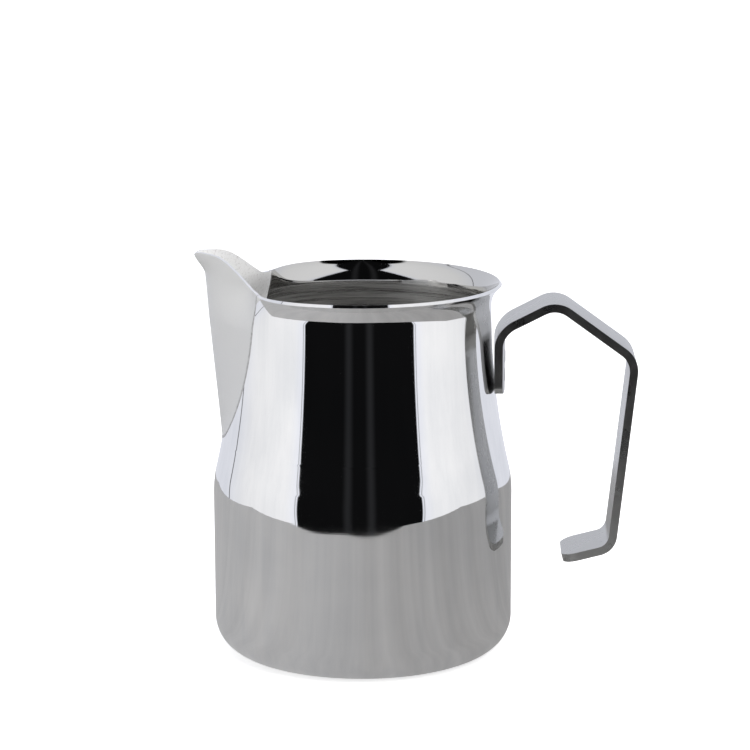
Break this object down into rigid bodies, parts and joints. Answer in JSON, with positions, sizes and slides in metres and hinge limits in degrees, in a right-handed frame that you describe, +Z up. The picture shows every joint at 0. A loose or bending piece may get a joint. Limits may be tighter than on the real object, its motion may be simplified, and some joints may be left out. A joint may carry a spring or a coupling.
{
  "type": "milk frothing pitcher",
  "caption": "Bell-shaped polished steel milk pitcher with a flared rim, a welded V spout and an open bent-strap handle.",
  "frame": {"origin": "on the body's axis at the height of the ring that the pitcher stands on, 0.5 mm below the centre of the recessed base", "axes": "+Z up along the body's axis, +X towards the handle, -X towards the spout, +Y across; the part is symmetric about the plane Y = 0"},
  "size_m": [0.1263, 0.086, 0.1158],
  "materials": {
    "polished_steel": "mirror-polished stainless steel outside and on the lip, brushed inside",
    "satin_steel": "fine satin stainless steel with rounded edges",
    "weld_steel": "ground weld metal with small pits"
  },
  "bodies": {
    "root": {"body_shell": "polished_steel", "spout": "satin_steel", "spout_weld_seam": "weld_steel", "handle_strap": "satin_steel", "handle_spot_weld_upper": "weld_steel", "handle_spot_weld_lower": "weld_steel"}
  },
  "joints": []
}
